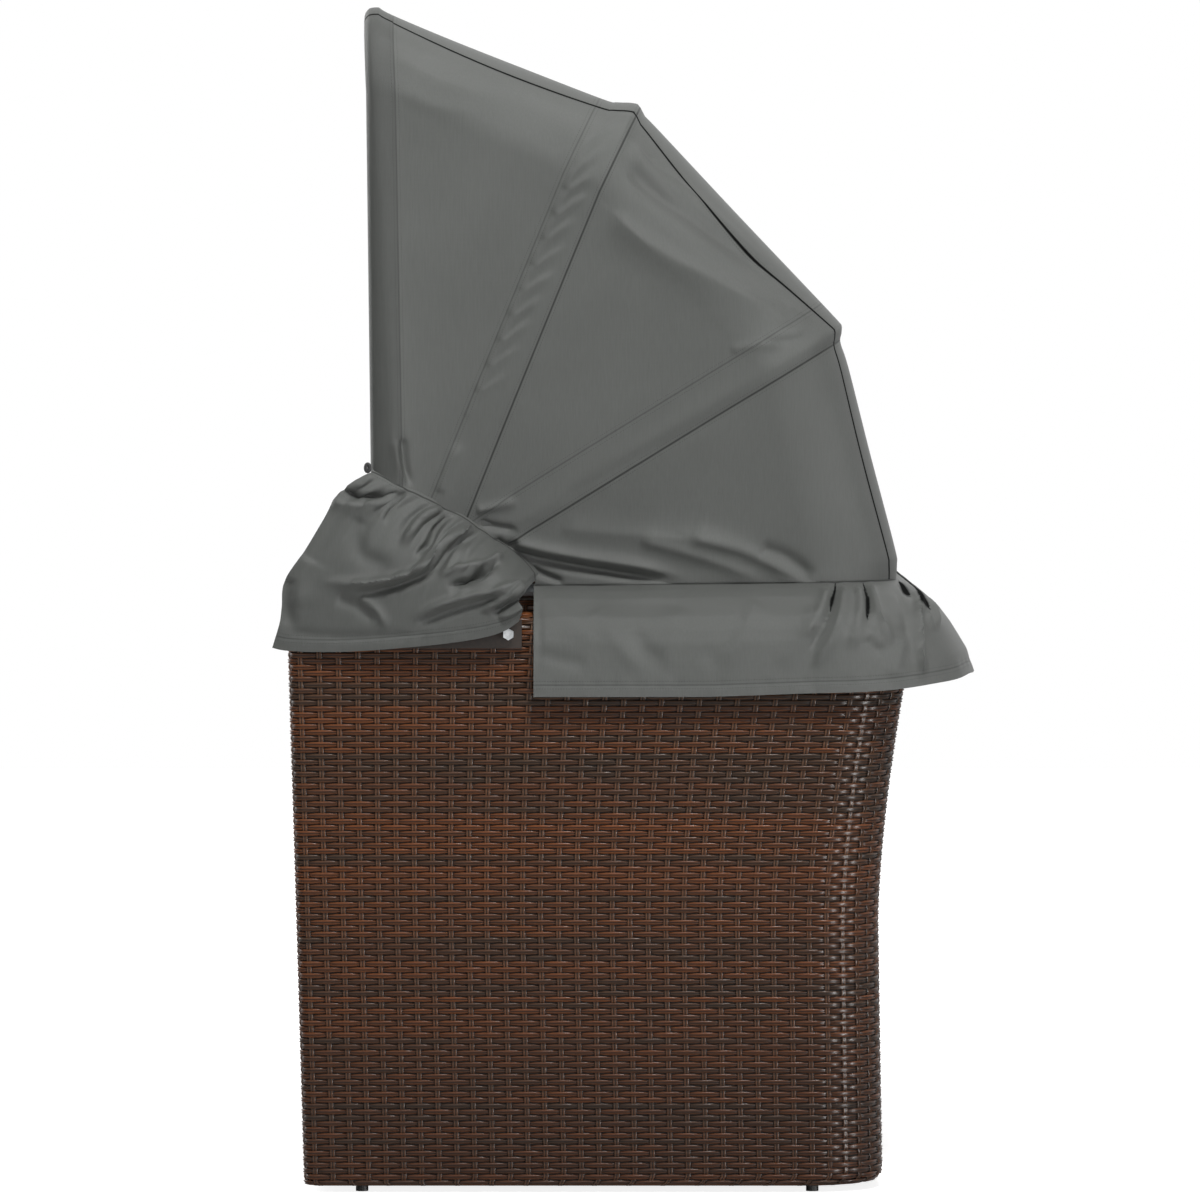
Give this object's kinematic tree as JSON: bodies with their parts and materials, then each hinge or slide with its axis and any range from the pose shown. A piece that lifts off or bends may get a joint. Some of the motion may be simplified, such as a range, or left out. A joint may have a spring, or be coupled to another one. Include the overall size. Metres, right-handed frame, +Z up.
{
  "type": "outdoor daybed with canopy",
  "caption": "Outdoor daybed for two: woven base with arms and back, seat and back cushions, and a folding cloth canopy on hoops.",
  "frame": {"origin": "on the floor, under the middle of the whole daybed's box", "axes": "+Z up, -Y towards the open front of the seat, +X towards the right arm as seen from the front"},
  "size_m": [1.42, 0.8444, 1.4201],
  "materials": {
    "wicker": "woven",
    "canopy_cloth": "matte",
    "cushion_cloth": "matte",
    "black_plastic": "moulded",
    "webbing": "woven",
    "zinc": "zinc plated",
    "hoop_tube": "powder coated",
    "frame_steel": "powder coated"
  },
  "bodies": {
    "base": {"right_side_panel": "wicker", "left_side_panel": "wicker", "back_panel": "wicker", "front_apron": "wicker", "seat_deck": "wicker", "seat_front_rail": "frame_steel", "seat_rear_rail": "frame_steel", "left_seat_bearer": "frame_steel", "centre_seat_bearer": "frame_steel", "right_seat_bearer": "frame_steel", "right_side_frame": "frame_steel", "left_side_frame": "frame_steel", "back_frame": "frame_steel", "front_left_foot": "black_plastic", "rear_left_foot": "black_plastic", "front_right_foot": "black_plastic", "rear_right_foot": "black_plastic", "right_hinge_bracket": "frame_steel", "left_hinge_bracket": "frame_steel", "right_bracket_front_bolt": "zinc", "left_bracket_front_bolt": "zinc", "right_bracket_rear_bolt": "zinc", "left_bracket_rear_bolt": "zinc", "right_pivot_bolt": "zinc", "left_pivot_bolt": "zinc", "right_pivot_nut": "zinc", "left_pivot_nut": "zinc", "right_pivot_washer_inner": "black_plastic", "left_pivot_washer_inner": "black_plastic", "right_pivot_washer_rear": "black_plastic", "left_pivot_washer_rear": "black_plastic", "right_pivot_washer_third": "black_plastic", "left_pivot_washer_third": "black_plastic", "right_pivot_washer_second": "black_plastic", "left_pivot_washer_second": "black_plastic", "right_pivot_washer_outer": "black_plastic", "left_pivot_washer_outer": "black_plastic", "rear_hoop": "hoop_tube", "left_hoop_saddle": "black_plastic", "right_hoop_saddle": "black_plastic", "canopy_rear_gore": "canopy_cloth", "rear_valance": "canopy_cloth", "right_front_flap": "canopy_cloth", "left_front_flap": "canopy_cloth", "left_seat_cushion": "cushion_cloth", "left_back_cushion": "cushion_cloth", "right_seat_cushion": "cushion_cloth", "right_back_cushion": "cushion_cloth"},
    "third_bow": {"third_hoop": "hoop_tube", "canopy_middle_gore": "canopy_cloth"},
    "second_bow": {"second_hoop": "hoop_tube", "canopy_front_gore": "canopy_cloth"},
    "front_bow": {"front_hoop": "hoop_tube", "right_front_tab": "webbing", "left_front_tab": "webbing"}
  },
  "joints": [
    {"name": "canopy_fold", "type": "hinge", "parent": "base", "child": "third_bow", "pos_m": [0, -0.2668, 0.716], "axis": [-1, 0, 0], "range_deg": [0, 22.3], "deforming": ["canopy_rear_gore", "right_front_flap", "left_front_flap"]},
    {"name": "second_bow_fold", "type": "hinge", "parent": "third_bow", "child": "second_bow", "pos_m": [0, -0.2668, 0.716], "axis": [-1, 0, 0], "range_deg": [0, 30.7], "deforming": ["canopy_middle_gore"]},
    {"name": "front_bow_fold", "type": "hinge", "parent": "second_bow", "child": "front_bow", "pos_m": [0, -0.2668, 0.716], "axis": [-1, 0, 0], "range_deg": [0, 25.5], "deforming": ["canopy_front_gore"]}
  ],
  "couplings": [
    {"joint": "second_bow_fold", "follows": "canopy_fold", "ratio": 1.3766},
    {"joint": "front_bow_fold", "follows": "canopy_fold", "ratio": 1.1434}
  ]
}
